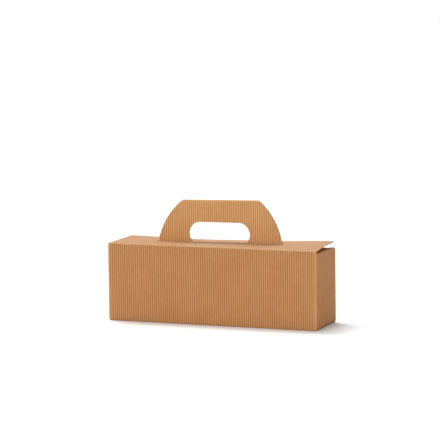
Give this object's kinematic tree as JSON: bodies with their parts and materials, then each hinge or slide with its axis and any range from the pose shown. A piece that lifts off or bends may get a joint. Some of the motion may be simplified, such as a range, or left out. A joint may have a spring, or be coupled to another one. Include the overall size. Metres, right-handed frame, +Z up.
{
  "type": "closed cardboard carrier box with a carrying handle",
  "caption": "Long low carrier box of ribbed kraft cardboard with a hinged lid and an upright handle through a slit in the lid.",
  "frame": {"origin": "middle of the box's underside, on the surface that it stands on", "axes": "+Z up, -Y out of the front face that the lid hangs on, +X towards the end where the lid lifts"},
  "size_m": [0.3, 0.078, 0.1666],
  "materials": {
    "board": "matte ribbed kraft",
    "board_lid": "matte ribbed kraft",
    "board_handle": "matte ribbed kraft"
  },
  "bodies": {
    "carton": {"carton": "board"},
    "lid": {"lid": "board_lid"},
    "handle": {"handle": "board_handle"}
  },
  "joints": [
    {"name": "lid_hinge", "type": "hinge", "parent": "carton", "child": "lid", "pos_m": [0, -0.03825, 0.10425], "axis": [1, 0, 0], "range_deg": [0, 75]},
    {"name": "handle_tilt", "type": "hinge", "parent": "carton", "child": "handle", "pos_m": [0, 0.0009, 0.10245], "axis": [1, 0, 0], "range_deg": [0, 36.75]}
  ],
  "couplings": [
    {"joint": "handle_tilt", "follows": "lid_hinge", "ratio": 0.49}
  ]
}
